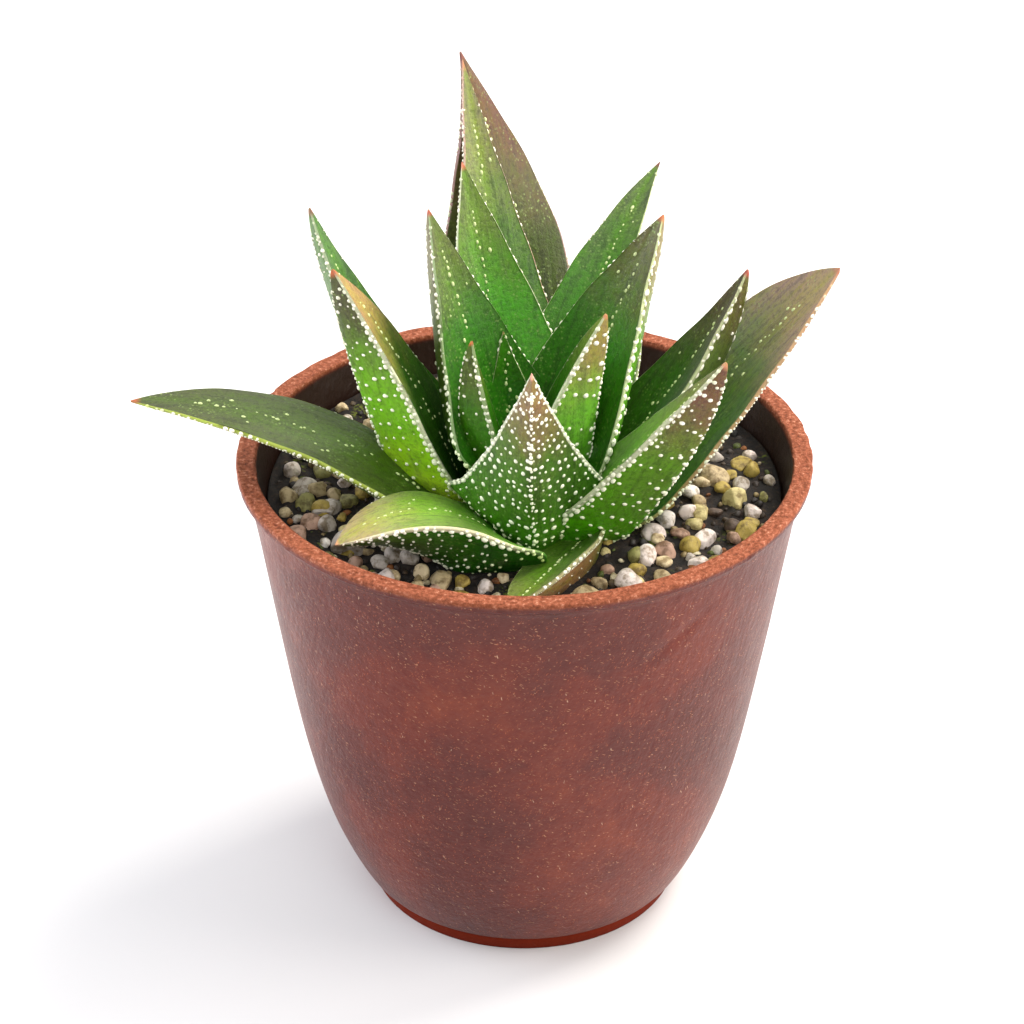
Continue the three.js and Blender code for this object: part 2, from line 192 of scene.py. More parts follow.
# one for each leaf, in the order of LEAVES
LOOKS = [
    look(("1C4206", "265A0A", "3C7016"), ("2C6208", "3E7C12", "547E1E"), "C9D6A0", "B9A06A", line=0.24,
         dot=0.22, dots=3),
    look(("2C6208", "3E7C16", "6E7438"), ("54A41C", "70AE3A", "9A8058"), "D4DCB4", "D98A62", dots=4,
         dot=0.4, line=0.42, stray=0.4),
    look(("2C6208", "3C7A10", "5C7020"), ("2E6404", "3A6E0C", "525F20"), "A8BC84", "D0683C", dots=3,
         dot=0.26, line=0.34, dash=1.6, stray=0.5),
    look(("2C6208", "3C7016", "7A6850"), ("448010", "466C22", "84624E"), "DDE0C4", "E0A088",
         bands=1.7, dots=10, dot=0.28, line=0.38, stray=0.3),
    look(("2A6A06", "386C20", "62683E"), ("3E6E0E", "4C6020", "6E6040"), "9AB07A", "B4402E", dots=2,
         dot=0.3, line=0.4, stray=0.5),
    look(("285E06", "346F10", "5A5030"), ("4A9210", "64A42C", "8A7242"), "C8D4A0", "C4683A", dots=3,
         dot=0.28, line=0.42, dash=1.8, stray=0.5),
    look(("2A6A04", "46881A", "647434"), ("3E7E0C", "50901E", "627032"), "D2D8AE", "D9705A", dots=3,
         dot=0.26, line=0.26),
    look(("36740E", "5C7C44", "86825C"), ("3E721A", "64863A", "7A784C"), "D2A694", "C07A5C", dots=3,
         dot=0.26, line=0.26),
    # the ninth leaf's lower face is a very bright yellow-green at its foot: partly its own paler foot,
    # partly painted light where light falls on it from the front left
    look(("1E5404", "3C661C", "A88060"), ("D4FF40", "7CB82C", "4E4A30"), "DCDFBC", "C05A38",
         bands=2.7, dots=5, dot=0.27, line=0.46, stray=0.55),
    look(("4A7A20", "5C8236", "6C6444"), ("5CB406", "5C8A24", "6E4438"), "DCE0BC", "D98A6C",
         bands=3.0, dots=6, dot=0.28, line=0.45, stray=0.6),
    look(("46781C", "427616", "5A6C40"), ("3E721A", "4C8020", "5A4A3C"), "B8C890", "7A3A44", dots=3,
         dot=0.26, line=0.3),
    look(("244E04", "305808", "54442C"), ("3E9420", "5E8238", "70644A"), "CCD4A4", "B84A44",
         bands=4.2, dots=1, dot=0.34, line=0.42, dash=2.2),
    look(("2C5416", "44702A", "56744A"), ("3E6418", "5E8644", "627A52"), "C4CEA8", "8A4A3A", dots=3,
         dot=0.26, line=0.34),
    look(("3E5A42", "464E24", "643C34"), ("40503A", "4C5440", "7A5A50"), "94706A", "7A4034", dots=3,
         dot=0.22, line=0.24),
    look(("3A6624", "56704C", "94746A"), ("4C6E20", "78804A", "A4786A"), "C29A72", "A86A50", dots=2,
         dot=0.18, line=0.24),
    look(("3E7E08", "7E9C4C", "A89070"), ("1E5C02", "2C6C04", "5C6E20"), "E8DCB8", "E0A070",
         bands=2.2, dots=7, dot=0.24, line=0.44, stray=0.4),
    look(("304E0E", "545E34", "4C5030"), ("466814", "747C3C", "82783E"), "B4C450", "A8502C",
         bands=3.4, dots=3, dot=0.15, line=0.2),
    look(("4E6A26", "5E7638", "747848"), ("4A5E10", "946C4C", "A07A5C"), "B8B484", "B8906A",
         bands=3.0, dots=3, dot=0.12, line=0.13),
    BACK_LOOK,
    BACK_LOOK,
]


# Repeatable scatter and noise

def scatter(count, salt):
    """The fraction of sin(12.9898 count + 78.233 salt) times 43758.5453."""
    value = np.sin(np.asarray(count, float) * 12.9898 + salt * 78.233) * 43758.5453
    return value - np.floor(value)


def lattice_noise(x, y, size, salt):
    """Values from 0 to 1 at the corners of a square lattice of the given size, blended across
    each square with 3t^2 - 2t^3."""
    column = np.floor(x / size)
    row = np.floor(y / size)
    across = x / size - column
    up = y / size - row
    across = across * across * (3 - 2 * across)
    up = up * up * (3 - 2 * up)

    def corner(i, j):
        """The value at one corner of each point's square."""
        return scatter((column + i) + 57.0 * (row + j), salt)

    near = corner(0, 0) * (1 - across) + corner(1, 0) * across
    far = corner(0, 1) * (1 - across) + corner(1, 1) * across
    return near * (1 - up) + far * up


# Meshes

def new_piece(name, points, faces, attributes=None, uv=None, face_slots=None):
    """A smooth mesh object from points in millimetres, with point attributes and a UV map that
    holds a value for each point."""
    mesh = bpy.data.meshes.new(name)
    mesh.from_pydata((np.asarray(points) * MM).tolist(), [], np.asarray(faces).tolist())
    for title, values in (attributes or {}).items():
        layer = mesh.attributes.new(title, "FLOAT", "POINT")
        layer.data.foreach_set("value", np.asarray(values, np.float32))
    if uv is not None:
        corners = np.empty(len(mesh.loops), np.int32)
        mesh.loops.foreach_get("vertex_index", corners)
        mesh.uv_layers.new(name="skin").data.foreach_set("uv", np.asarray(uv, np.float32)[corners].ravel())
    if face_slots is not None:
        mesh.polygons.foreach_set("material_index", np.asarray(face_slots, np.int32))
    mesh.polygons.foreach_set("use_smooth", np.ones(len(mesh.polygons), bool))
    mesh.update()
    piece = bpy.data.objects.new(name, mesh)
    bpy.context.scene.collection.objects.link(piece)
    return piece


def tube_faces(rings, around):
    """Triangles of a closed tube of rings with the same number of points round each, and a fan at
    both ends to the two points that follow the rings."""
    ring, turn = np.meshgrid(np.arange(rings - 1), np.arange(around), indexing="ij")
    here = ring * around + turn
    beside = ring * around + (turn + 1) % around
    sides = np.concatenate([
        np.stack([here, beside, beside + around], -1).reshape(-1, 3),
        np.stack([here, beside + around, here + around], -1).reshape(-1, 3),
    ])
    turn = np.arange(around)
    after = (turn + 1) % around
    last = (rings - 1) * around
    start = np.full(around, rings * around)
    near = np.stack([start, after, turn], -1)
    far = np.stack([start + 1, last + turn, last + after], -1)
    return np.concatenate([sides, near, far])


# The leaves

def leaf_line(shape, steps=400):
    """Place, tangent, sideways and upper-face direction along a leaf: its heading and climb change
    evenly from foot to tip, its place is their running sum, and sideways is the level direction
    square to it, turned by -roll about the tangent."""
    share = np.linspace(0, 1, steps + 1)
    foot_heading, foot_out, foot_up = shape["foot"]
    turn = math.radians(foot_heading)
    start = np.array([PLANT[0] + foot_out * math.cos(turn), PLANT[1] + foot_out * math.sin(turn), foot_up])

    def direction(at):
        """The tangent and the heading at a share of the leaf's length."""
        heading = np.radians(shape["heading"][0] + (shape["heading"][1] - shape["heading"][0]) * at)
        climb = np.radians(shape["climb"][0] + (shape["climb"][1] - shape["climb"][0]) * at)
        flat = np.cos(climb)
        return np.stack([flat * np.cos(heading), flat * np.sin(heading), np.sin(climb)], -1), heading

    middle, _ = direction((share[1:] + share[:-1]) / 2)
    place = start + np.concatenate([[[0, 0, 0]], np.cumsum(middle, 0)]) * shape["length"] / steps
    tangent, heading = direction(share)
    level = np.stack([-np.sin(heading), np.cos(heading), 0 * heading], -1)
    roll = math.radians(-shape["roll"])
    side = level * math.cos(roll) + np.cross(tangent, level) * math.sin(roll)
    return dict(share=share, place=place, tangent=tangent, side=side, face=np.cross(tangent, side))


def at_share(line, title, share):
    """One of the line's directions or its place, read between its steps."""
    columns = [np.interp(share, line["share"], line[title][:, axis]) for axis in range(3)]
    return np.stack(columns, -1)


def half_width(shape, share):
    """A quarter sine from FOOT_SHARE up to the widest place, then 1 - t^taper down to the tip."""
    rise = FOOT_SHARE + (1 - FOOT_SHARE) * np.sin(math.pi / 2 * np.minimum(share / WIDEST_AT, 1))
    fall = 1 - np.clip((share - WIDEST_AT) / (1 - WIDEST_AT), 0, 1) ** shape["taper"]
    return shape["half"] * np.where(share < WIDEST_AT, rise, fall)


def skin(shape, line, share, across, below, reach=0.0):
    """A point of a leaf's skin. The upper face is folded along its middle: it rises by cup times
    the half width times |across|^1.4 towards its margins, and by more near the foot, where it
    clasps the leaves inside it. The lower one lies under it by the margin's thickness and by the
    depth times a keel of 0.6 (1 - |across|) + 0.4 (1 - across^2). reach moves a point outwards."""
    width = half_width(shape, share)
    cup = shape["cup"] * (1 - 0.35 * share) + CLASP * np.exp(-((share / CLASP_REACH) ** 2))
    filled = np.minimum(1, FOOT_SHARE + 2 * share)
    depth = shape["deep"] * filled * np.maximum(1 - share ** 2.2, 0) ** 0.8
    keel = KEEL_SHARPNESS * (1 - np.abs(across)) + (1 - KEEL_SHARPNESS) * (1 - across ** 2)
    top = cup * width * np.abs(across) ** 1.4
    margin = MARGIN_THICKNESS * (1 - 0.6 * share ** 6)
    height = top - below * (margin + depth * keel)
    sideways = across * width + np.sign(across) * reach
    return (at_share(line, "place", share)
            + at_share(line, "side", share) * sideways[..., None]
            + at_share(line, "face", share) * height[..., None])


def section_around():
    """Where the points round a leaf's section lie: across from -1 to 1 on the upper face, a
    rounded edge, back on the lower face and a second rounded edge."""
    upper = np.sin(np.linspace(-math.pi / 2, math.pi / 2, UPPER_POINTS))
    lower = np.linspace(1, -1, LOWER_POINTS)
    across = np.concatenate([upper, [1], lower, [-1]])
    below = np.concatenate([np.zeros(UPPER_POINTS), [0.5], np.ones(LOWER_POINTS), [0.5]])
    edge = np.abs(across) > 0.999
    reach = np.where(edge, np.where(below == 0.5, 0.1, -0.12), 0.0)
    return across, below, reach


def leaf_skin(shape, line, number):
    """The closed skin of a leaf: its section carried from foot to tip, with a slow unevenness of a
    tenth of a millimetre that no two leaves share."""
    across, below, reach = section_around()
    stations = max(24, int(shape["length"] / STATION))
    share = np.linspace(0, 0.998, stations) ** 0.95
    wave = 0.1 * np.sin(share * shape["length"] / 3.1 + number)[:, None] * np.cos(2.3 * across + number)
    width_wave = 0.12 * np.sin(share * shape["length"] / 1.9 + 2.0 * number)[:, None]
    grid_share = np.repeat(share[:, None], len(across), 1)
    grid_across = np.repeat(across[None], stations, 0)
    fade = np.minimum(1, 4 * (1 - grid_share))
    lower = np.repeat(below[None], stations, 0)
    # the point out on the edge lies half the margin's thickness under the upper face
    points = skin(shape, line, grid_share, grid_across, np.where(lower == 0.5, 0.0, lower),
                  (reach[None] + np.abs(grid_across) ** 8 * width_wave) * fade)
    rise = wave - MARGIN_THICKNESS / 2 * (lower == 0.5)
    points += at_share(line, "face", grid_share) * (rise * fade)[..., None]
    ends = np.stack([points[0].mean(0), at_share(line, "place", np.array(1.0))])
    flat = np.concatenate([points.reshape(-1, 3), ends])
    faces = tube_faces(stations, len(across))
    width = np.repeat(half_width(shape, share)[:, None], len(across), 1)
    seam = np.where(lower > 0.5, FACE_SHIFT, 0.0)
    attributes = dict(
        share=np.concatenate([grid_share.ravel(), [0, 1]]),
        across=np.concatenate([grid_across.ravel(), [0, 0]]),
        upper=np.concatenate([(1 - lower).ravel(), [0, 1]]),
    )
    uv = np.stack([(grid_across * width + seam).ravel(), (grid_share * shape["length"]).ravel()], -1)
    uv = np.concatenate([uv, [[0, 0], [0, shape["length"]]]]) + LEAF_SHIFT * number
    return flat, faces, attributes, uv


def wart_spots(shape, style, number):
    """Where a leaf's warts stand, as rows of share, across, radius, stretch and turn. A turn of 0
    stretches a wart along the leaf and 1 across it. They stand on the lower face in a line at
    each margin, a line along the keel and uneven cross rows on both flanks. A row runs
    2.7 out^2 - 1.1 out millimetres towards the tip, where out is 0 at the keel and 1 at the
    margin."""
    draw = np.random.default_rng(WART_SEED + number)
    length = shape["length"]
    rows = []

    def add(share, across, radius, stretch, turn):
        """Adds spots that have one stretch and one turn."""
        share, across, radius = np.broadcast_arrays(share, across, radius)
        count = share.size
        rows.append(np.stack([share, across, radius, np.full(count, stretch), np.full(count, turn)], -1))

    for end in (-1, 1):
        pitch = style["line"] * (1.5 + style["dash"])
        steps = int(length / pitch)
        share = (np.arange(steps) + draw.uniform(-0.2, 0.2, steps)) / steps
        radius = style["line"] * draw.uniform(0.6, 1.1, steps) * (1 - 0.5 * share)
        inset = 0.35 * style["line"] / shape["half"]
        add(share, end * (1 - inset * draw.uniform(0.6, 1.6, steps)), radius, style["dash"], 0)
    steps = int(length / (1.7 * style["line"] * style["dash"]))
    share = (np.arange(steps) + draw.uniform(-0.25, 0.25, steps)) / steps
    radius = 0.85 * style["line"] * draw.uniform(0.6, 1.15, steps) * (1 - 0.35 * share)
    add(share, draw.uniform(-0.04, 0.04, steps), radius, style["dash"], 0)
    for band in np.arange(0.1 * length, 0.93 * length, style["bands"]):
        for flank in (-1, 1):
            width = half_width(shape, np.array(band / length)) / shape["half"]
            count = max(1, int(round(style["dots"] * (0.35 + 0.65 * width))))
            keep = draw.uniform(0, 1, count) < 0.9
            out = (np.arange(count) + 0.6 + draw.uniform(-0.16, 0.16, count)) / (count + 0.35)
            along = band - 1.1 * out + 2.7 * out ** 2 + draw.normal(0, style["stray"], count)
            across = flank * out
            radius = style["dot"] * draw.uniform(0.55, 1.25, count)
            add((along / length)[keep], across[keep], radius[keep], draw.choice([1.0, 1.2, 1.5]), 1)
    spots = np.concatenate(rows)
    return spots[(spots[:, 0] > 0.03) & (spots[:, 0] < 0.94)]


def tooth_spots(shape, number):
    """The small teeth along both thin margins, in the rows that wart_spots gives."""
    draw = np.random.default_rng(TOOTH_SEED + number)
    steps = int(shape["length"] / TOOTH_PITCH)
    rows = []
    for end in (-1.0, 1.0):
        share = (np.arange(steps) + draw.uniform(-0.35, 0.35, steps)) / steps
        radius = draw.uniform(0.22, 0.4, steps) * (1 - 0.35 * share)
        row = [share, np.full(steps, end), radius, draw.uniform(1.0, 1.7, steps), np.zeros(steps)]
        rows.append(np.stack(row, -1))
    spots = np.concatenate(rows)
    return spots[(spots[:, 0] > 0.06) & (spots[:, 0] < 0.965)]


def median_spots(shape, number):
    """The small dots along the middle of the upper face, with a few beside them."""
    draw = np.random.default_rng(MEDIAN_SEED + number)
    steps = int(shape["length"] / MEDIAN_PITCH)
    share = (np.arange(steps) + draw.uniform(-0.3, 0.3, steps)) / steps
    share = share[(share > 0.12) & (share < 0.85)]
    across = draw.normal(0, 0.025, share.size)
    stray = draw.uniform(0, 1, share.size) < 0.2
    across[stray] = draw.uniform(-0.6, 0.6, stray.sum())
    radius = draw.uniform(0.13, 0.27, share.size)
    return np.stack([share, across, radius, np.full(share.size, 1.5), np.zeros(share.size)], -1)


def warts(shape, line, spots, below, first):
    """Low domes on the skin: rings of DOME_SIDES points at a sunk root, a shoulder and a crown,
    and a top. Each may be drawn out along or across the leaf. below is 0 on the upper face, 1 on
    the lower one and 0.5 on the edge between them, where they point sideways."""
    share, across, radius, stretch, turn = spots.T
    step = 0.004
    flag = np.full(share.size, float(below))
    foot = skin(shape, line, share, across, flag)
    along = skin(shape, line, np.minimum(share + step, 1), across, flag) - foot
    inward = np.where(across > 0, -step * 4, step * 4)
    beside = (skin(shape, line, share, across + inward, flag) - foot) * np.sign(inward)[:, None]
    along /= np.linalg.norm(along, axis=1, keepdims=True) + 1e-9
    out = np.cross(along, beside)
    out /= np.linalg.norm(out, axis=1, keepdims=True) + 1e-9
    out = -out if below == 1 else out
    # those beside a margin lean outwards, and the teeth on it stand out sideways
    near_edge = (np.abs(across) > 0.9) & (below == 1)
    outward = at_share(line, "side", share) * np.sign(across)[:, None]
    out = np.where(near_edge[:, None], out * 0.55 + outward * 0.85, out)
    out = outward * 0.9 + out * 0.45 if below == 0.5 else out
    out /= np.linalg.norm(out, axis=1, keepdims=True) + 1e-9
    beside = np.cross(out, along)
    beside /= np.linalg.norm(beside, axis=1, keepdims=True) + 1e-9
    sizes = (np.where(turn > 0.5, 1, stretch) * radius, np.where(turn > 0.5, stretch, 1) * radius)
    angle = 2 * math.pi * np.arange(DOME_SIDES) / DOME_SIDES
    parts = []
    for spread, lift in DOME_RINGS:
        ring = (foot[:, None]
                + along[:, None] * (np.cos(angle) * spread)[None, :, None] * sizes[0][:, None, None]
                + beside[:, None] * (np.sin(angle) * spread)[None, :, None] * sizes[1][:, None, None]
                + out[:, None] * (lift * radius)[:, None, None])
        parts.append(ring)
    parts.append((foot + out * (DOME_TOP * radius)[:, None])[:, None])
    points = np.concatenate(parts, 1)
    corner = np.arange(DOME_SIDES)
    after = (corner + 1) % DOME_SIDES
    template = []
    for ring in range(len(DOME_RINGS) - 1):
        low = ring * DOME_SIDES
        high = low + DOME_SIDES
        template.append(np.stack([low + corner, low + after, high + after], -1))
        template.append(np.stack([low + corner, high + after, high + corner], -1))
    crown = (len(DOME_RINGS) - 1) * DOME_SIDES
    top = np.full(DOME_SIDES, len(DOME_RINGS) * DOME_SIDES)
    template.append(np.stack([crown + corner, crown + after, top], -1))
    template.append(np.stack([np.zeros(DOME_SIDES - 2, int), corner[2:], corner[1:-1]], -1))
    template = np.concatenate(template)
    starts = first + np.arange(share.size) * points.shape[1]
    faces = (starts[:, None, None] + template[None]).reshape(-1, 3)
    attributes = np.repeat(np.stack([share, across], -1)[:, None], points.shape[1], 1).reshape(-1, 2)
    return points.reshape(-1, 3), faces, attributes


def make_leaf(number, shape, style):
    """One leaf with its warts as one mesh: slot 0 is the skin and slot 1 the warts."""
    line = leaf_line(shape)
    points, faces, attributes, uv = leaf_skin(shape, line, number)
    all_points = [points]
    all_faces = [faces]
    uppers = [attributes["upper"]]
    marks = []
    rows = ((wart_spots(shape, style, number), 1.0), (median_spots(shape, number), 0.0),
            (tooth_spots(shape, number), 0.5))
    for spots, below in rows:
        first = sum(len(part) for part in all_points)
        domes, dome_faces, dome_marks = warts(shape, line, spots, below, first)
        all_points.append(domes)
        all_faces.append(dome_faces)
        uppers.append(np.full(len(domes), 1.0 if below == 0 else 0.0))
        marks.append(dome_marks)
    marks = np.concatenate(marks)
    values = dict(
        share=np.concatenate([attributes["share"], marks[:, 0]]),
        across=np.concatenate([attributes["across"], marks[:, 1]]),
        upper=np.concatenate(uppers),
    )
    uv = np.concatenate([uv, marks * (1, shape["length"])])
    slots = np.concatenate([np.zeros(len(faces)), np.ones(sum(len(part) for part in all_faces[1:]))])
    name = f"leaf_{number + 1:02d}"
    # a point that would leave the CAD's box is held at its side, which flattens a few teeth
    points = np.clip(np.concatenate(all_points), BOX_LOW, BOX_HIGH)
    piece = new_piece(f"{name}_fine", points, np.concatenate(all_faces), values, uv, slots)
    piece.data.materials.append(leaf_material(name, style))
    piece.data.materials.append(wart_material(name, style))
    return piece


# Colours and nodes

def srgb(code):
    """An sRGB hex code as the linear colour that a socket takes, with a full alpha."""
    parts = [int(code[i:i + 2], 16) / 255 for i in (0, 2, 4)]
    linear = [part / 12.92 if part <= 0.04045 else ((part + 0.055) / 1.055) ** 2.4 for part in parts]
    return (*linear, 1.0)


def add_node(tree, kind, settings=None, **links):
    """Adds a node. settings holds its properties, and links its input sockets by name or, as
    in_0, by number: an output socket is linked and anything else is set."""
    node = tree.nodes.new(kind)
    for title, value in (settings or {}).items():
        setattr(node, title, value)
    for title, value in links.items():
        key = int(title[3:]) if title.startswith("in_") else title.replace("_", " ")
        if isinstance(value, bpy.types.NodeSocket):
            tree.links.new(value, node.inputs[key])
        else:
            node.inputs[key].default_value = value
    return node


def new_material(name, **surface):
    """A material with its Principled surface and the node tree to build on."""
    material = bpy.data.materials.new(name)
    material.use_nodes = True
    tree = material.node_tree
    shader = tree.nodes["Principled BSDF"]
    for title, value in surface.items():
        shader.inputs[title.replace("_", " ")].default_value = value
    return material, tree, shader


def ramp(tree, factor, stops, smooth=True):
    """A colour ramp through stops of place and colour."""
    node = add_node(tree, "ShaderNodeValToRGB", in_0=factor)
    node.color_ramp.interpolation = "EASE" if smooth else "CONSTANT"
    marks = node.color_ramp.elements
    while len(marks) < len(stops):
        marks.new(0.5)
    for mark, (place, code) in zip(marks, stops):
        mark.position = place
        mark.color = srgb(code)
    return node.outputs["Color"]


def step_up(tree, value, low, high, top=1.0):
    """A smooth step from 0 at low to top at high."""
    node = add_node(tree, "ShaderNodeMapRange", {"interpolation_type": "SMOOTHSTEP"}, Value=value)
    node.inputs["From Min"].default_value = low
    node.inputs["From Max"].default_value = high
    node.inputs["To Max"].default_value = top
    return node.outputs["Result"]


def blend(tree, factor, first, second, kind="MIX"):
    """The first colour, with the second mixed into it by a factor."""
    node = add_node(tree, "ShaderNodeMix", {"data_type": "RGBA", "blend_type": kind})
    for slot, value in ((0, factor), (6, first), (7, second)):
        if isinstance(value, bpy.types.NodeSocket):
            tree.links.new(value, node.inputs[slot])
        else:
            node.inputs[slot].default_value = value
    return node.outputs[2]


def calculate(tree, operation, first, second=0.0):
    """One sum on two values."""
    return add_node(tree, "ShaderNodeMath", {"operation": operation}, in_0=first, in_1=second).outputs[0]


def attribute(tree, name):
    """A point attribute as a value."""
    return add_node(tree, "ShaderNodeAttribute", {"attribute_name": name}).outputs["Fac"]


def noise(tree, place, per_mm, detail=3.0, roughness=0.55):
    """Noise on a coordinate in metres, with its scale given for each millimetre."""
    return add_node(tree, "ShaderNodeTexNoise", Vector=place, Scale=per_mm / MM, Detail=detail,
                    Roughness=roughness).outputs["Fac"]


def object_place(tree):
    """The place on the object, in metres."""
    return add_node(tree, "ShaderNodeTexCoord").outputs["Object"]


def bump(tree, height, depth_mm, strength=1.0):
    """A bump whose height of 1 is depth_mm."""
    return add_node(tree, "ShaderNodeBump", Height=height, Distance=depth_mm * MM,
                    Strength=strength).outputs["Normal"]


def leaf_material(name, style):
    """Living leaf skin: waxy and satin, so light spreads softly in it and its gloss is broad. It
    is brighter at the foot, browner at the tip, and finely flecked with pale cells."""
    material, tree, shader = new_material(
        f"{name}_waxy_skin", Roughness=0.4, IOR=1.4, Subsurface_Weight=0.1, Subsurface_Scale=0.0012,
        Subsurface_Radius=(0.5, 1.0, 0.2))
    place = object_place(tree)
    skin_place = add_node(tree, "ShaderNodeUVMap", {"uv_map": "skin"}).outputs["UV"]
    share = attribute(tree, "share")
    upper = attribute(tree, "upper")
    edge = calculate(tree, "ABSOLUTE", attribute(tree, "across"))
    # the tones drift a little along and across the leaf
    drift = calculate(tree, "MULTIPLY", calculate(tree, "SUBTRACT", noise(tree, place, 0.22), 0.5), 0.3)
    along = calculate(tree, "ADD", share, drift)
    places = (0.06, 0.48, 0.9)
    over = ramp(tree, along, list(zip(places, style["upper"])))
    under = ramp(tree, along, list(zip(places, style["lower"])))
    colour = blend(tree, upper, under, over)
    # veins a millimetre or two apart run the length of the leaf
    drawn_out = add_node(tree, "ShaderNodeMapping", Vector=skin_place, Scale=(0.8, 0.06, 1.0))
    vein = add_node(tree, "ShaderNodeTexNoise", Vector=drawn_out.outputs[0], Scale=1.0, Detail=4.0,
                    Roughness=0.6).outputs["Fac"]
    colour = blend(tree, step_up(tree, vein, 0.4, 0.68, 0.8), colour, srgb("A8BE68"), "SOFT_LIGHT")
    colour = blend(tree, step_up(tree, vein, 0.5, 0.3, 0.5), colour, srgb("6C8050"), "MULTIPLY")
    # the upper face is lighter along its middle than towards its margins
    middle = calculate(tree, "MULTIPLY", calculate(tree, "SUBTRACT", 1.0, edge), upper)
    colour = blend(tree, step_up(tree, middle, 0.15, 0.95, 0.45), colour, srgb("B4DC60"), "SOFT_LIGHT")
    # patches half a millimetre to a millimetre wide, lighter and darker by turns
    grain = noise(tree, place, 1.3, 4.0, 0.75)
    colour = blend(tree, step_up(tree, grain, 0.46, 0.66, 0.9), colour, srgb("BCCC90"), "SOFT_LIGHT")
    colour = blend(tree, step_up(tree, grain, 0.52, 0.36, 0.45), colour, srgb("7A9056"), "MULTIPLY")
    # pale cells under the skin, thick in some patches and thin in others: at about 0.3 mm they
    # are drawn coarser than real ones, so that they show
    cells = add_node(tree, "ShaderNodeTexVoronoi", Vector=place, Scale=1.9 / MM, Randomness=1.0)
    fleck = calculate(tree, "SUBTRACT", 1.0, step_up(tree, cells.outputs["Distance"], 0.1, 0.5))
    chosen = step_up(tree, cells.outputs["Color"], 0.3, 0.8)
    patch = step_up(tree, noise(tree, place, 0.22, 2.0), 0.34, 0.68, 0.55)
    fleck = calculate(tree, "MULTIPLY", calculate(tree, "MULTIPLY", fleck, chosen), patch)
    colour = blend(tree, fleck, colour, srgb("9CB866"))
    shown = step_up(tree, share, 0.0, 0.4)
    rim = calculate(tree, "MULTIPLY", step_up(tree, edge, 0.975, 0.999, 0.8), shown)
    colour = blend(tree, rim, colour, srgb(style["edge"]))
    thorn = step_up(tree, share, 0.968, 0.99, 0.85)
    colour = blend(tree, thorn, colour, srgb(style["spine"]))
    tree.links.new(colour, shader.inputs["Base Color"])
    tree.links.new(bump(tree, calculate(tree, "ADD", grain, vein), 0.25, 0.7), shader.inputs["Normal"])
    return material


def wart_material(name, style):
    """Wart: dry, chalky white tissue with little gloss. Those near the foot and on the upper face
    are greener, and those near the tip lean towards the margin's colour."""
    material, tree, shader = new_material(f"{name}_chalky_wart", Roughness=0.6, IOR=1.4)
    place = object_place(tree)
    share = attribute(tree, "share")
    upper = attribute(tree, "upper")
    tone = ramp(tree, share, [(0.02, "C4D880"), (0.3, "EEF2D6"), (0.85, "F6F0E0"), (0.98, style["edge"])])
    tone = blend(tree, calculate(tree, "MULTIPLY", upper, 0.8), tone, srgb("BCD07C"))
    tone = blend(tree, step_up(tree, noise(tree, place, 2.0), 0.4, 0.8, 0.3), tone, srgb("DDE0B8"))
    tree.links.new(tone, shader.inputs["Base Color"])
    tree.links.new(bump(tree, noise(tree, place, 3.0), 0.08, 0.6), shader.inputs["Normal"])
    return material


# The pot

def pot_radius(z):
    """The pot's outside: a straight taper whose foot tucks in along exp(-z / FOOT_HEIGHT) and
    whose top flares along exp((z - POT_HEIGHT) / FLARE_HEIGHT)."""
    tuck = FOOT_TUCK * np.exp(-z / FOOT_HEIGHT)
    flare = WALL_FLARE * np.exp((z - POT_HEIGHT) / FLARE_HEIGHT)
    return WALL_RADIUS + WALL_TAPER * z - tuck + flare


def pot_profile():
    """The pot's wall from the middle of the base, up the foot band and the outside, over the rim
    and down to the middle of the floor, as radius, height and whether it is inside the pot. The
    rim's arrises are rounded."""
    corner = np.linspace(0, math.pi / 2, 6)
    inner = RIM_RADIUS - RIM_WIDTH
    base = np.linspace(3, FOOT_RING - 0.5, 12)
    foot = np.array([[FOOT_RING - 0.12, 0.1], [FOOT_RING, 0.4], [FOOT_RING + 0.4, 1.3],
                     [FOOT_RING + 0.72, 2.3], [FOOT_RING + 0.72, FOOT_BAND], [pot_radius(3.1) - 0.25, 2.95],
                     [pot_radius(3.1), 3.25]])
    outside = np.linspace(3.8, POT_HEIGHT - LIP_HEIGHT, 70)
    top = POT_HEIGHT - LIP_HEIGHT
    lip = np.array([[pot_radius(top) + 0.35, top + 0.15], [RIM_RADIUS - 0.75, top + 0.4],
                    [RIM_RADIUS - 0.3, top + 0.75], [RIM_RADIUS - 0.08, POT_HEIGHT - RIM_BAND],
                    [RIM_RADIUS, POT_HEIGHT - 0.8]])
    top_out = np.stack([RIM_RADIUS - ARRIS + ARRIS * np.cos(corner),
                        POT_HEIGHT - ARRIS + ARRIS * np.sin(corner)], -1)
    flat = np.linspace(RIM_RADIUS - 0.7, inner + 0.7, 9)
    top_in = np.stack([inner + ARRIS - ARRIS * np.sin(corner),
                       POT_HEIGHT - ARRIS + ARRIS * np.cos(corner)], -1)
    well = np.linspace(POT_HEIGHT - 1.4, SOIL_LEVEL, 8)
    well_radius = np.interp(well, [SOIL_LEVEL, POT_HEIGHT], [pot_radius(SOIL_LEVEL) - WALL, inner])
    deep = np.array([50, 26, 12, FLOOR])
    floor = np.linspace(pot_radius(FLOOR) - WALL - 1, 3, 12)
    outer_part = np.concatenate([
        np.stack([base, 0 * base], -1), foot, np.stack([pot_radius(outside), outside], -1),
        lip, top_out, np.stack([flat, 0 * flat + POT_HEIGHT], -1), top_in,
    ])
    inner_part = np.concatenate([
        np.stack([well_radius, well], -1), np.stack([pot_radius(deep) - WALL, deep], -1),
        np.stack([floor, 0 * floor + FLOOR], -1),
    ])
    inside = np.concatenate([np.zeros(len(outer_part)), np.ones(len(inner_part))])
    return np.concatenate([outer_part, inner_part]), inside


